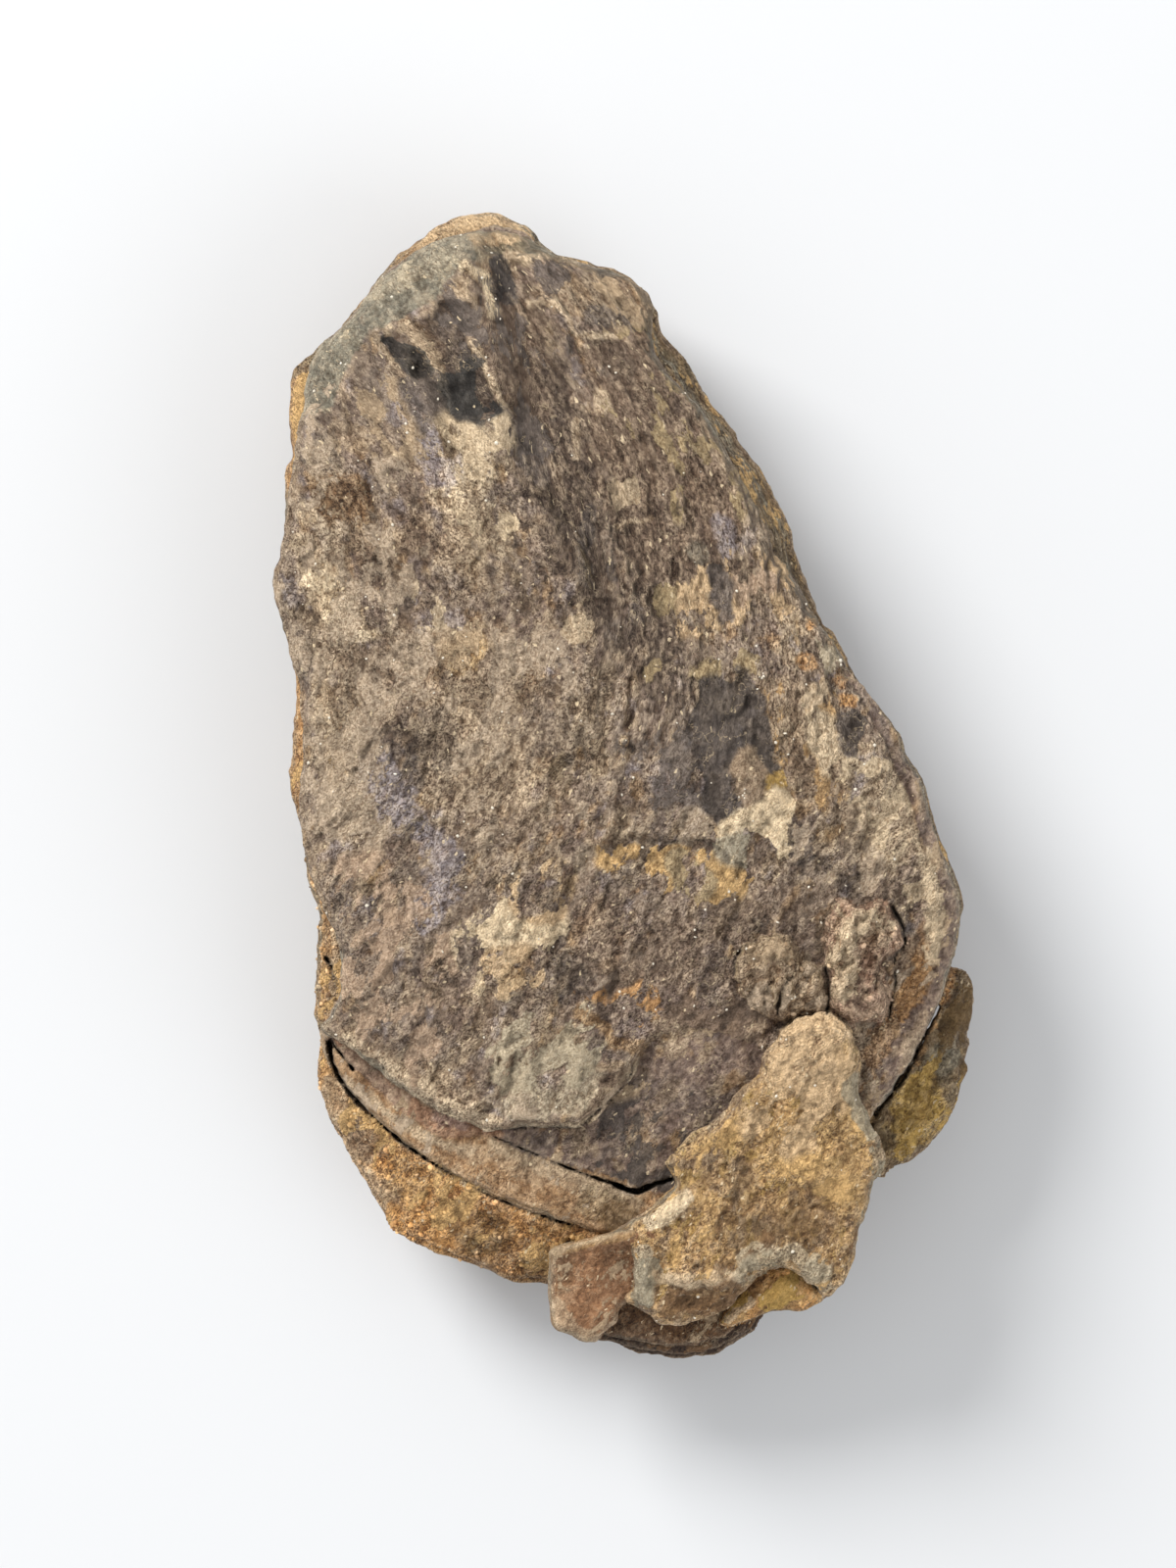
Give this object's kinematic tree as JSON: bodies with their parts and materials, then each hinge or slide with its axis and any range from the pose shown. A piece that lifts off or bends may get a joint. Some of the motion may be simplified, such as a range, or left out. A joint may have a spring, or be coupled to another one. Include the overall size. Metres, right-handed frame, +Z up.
{
  "type": "layered shale fossil stone",
  "caption": "Palm-sized stone of layered fossil-bearing shale, narrow at one end, split into leaves at the other, lying on a flat bedding face.",
  "frame": {"origin": "centre of the stone's box, on the surface that it rests on", "axes": "+Z up, +Y along the stone towards its narrow end, +X across it"},
  "size_m": [0.0526, 0.0859, 0.0194],
  "materials": {
    "shale": "weathered, matt"
  },
  "bodies": {
    "root": {"stone": "shale"}
  },
  "joints": []
}
